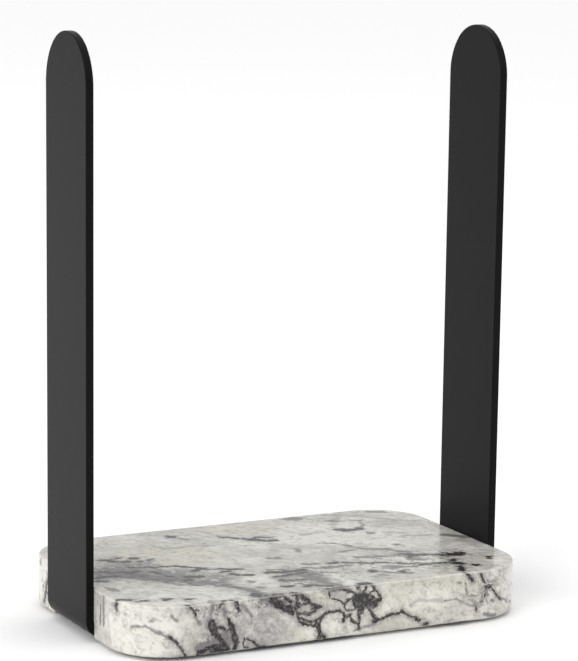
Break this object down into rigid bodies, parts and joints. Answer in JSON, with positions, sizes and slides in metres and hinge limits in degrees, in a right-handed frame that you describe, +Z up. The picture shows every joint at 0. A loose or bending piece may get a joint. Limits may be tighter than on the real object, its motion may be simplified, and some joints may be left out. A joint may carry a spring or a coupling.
{
  "type": "paper towel holder",
  "caption": "Countertop paper towel holder: a rounded rectangular marble slab with a tall flat black steel bar, round at its top, standing at each short end.",
  "frame": {"origin": "on the surface the holder stands on, under the middle of the slab", "axes": "+X along the slab's long side from the left upright to the right one, +Y from front to back, +Z up along the uprights"},
  "size_m": [0.228, 0.142, 0.2916],
  "materials": {
    "marble": "polished white marble with dark grey veins",
    "black_powder_coat": "satin black powder coat",
    "screw_steel": "zinc plated",
    "insert_brass": "turned",
    "foot_rubber": "matte"
  },
  "bodies": {
    "root": {"marble_base": "marble", "left_upright": "black_powder_coat", "right_upright": "black_powder_coat", "left_outer_screw": "screw_steel", "left_inner_screw": "screw_steel", "right_outer_screw": "screw_steel", "right_inner_screw": "screw_steel", "left_outer_threaded_insert": "insert_brass", "left_inner_threaded_insert": "insert_brass", "right_outer_threaded_insert": "insert_brass", "right_inner_threaded_insert": "insert_brass", "front_left_rubber_foot": "foot_rubber", "front_right_rubber_foot": "foot_rubber", "back_left_rubber_foot": "foot_rubber", "back_right_rubber_foot": "foot_rubber"}
  },
  "joints": []
}
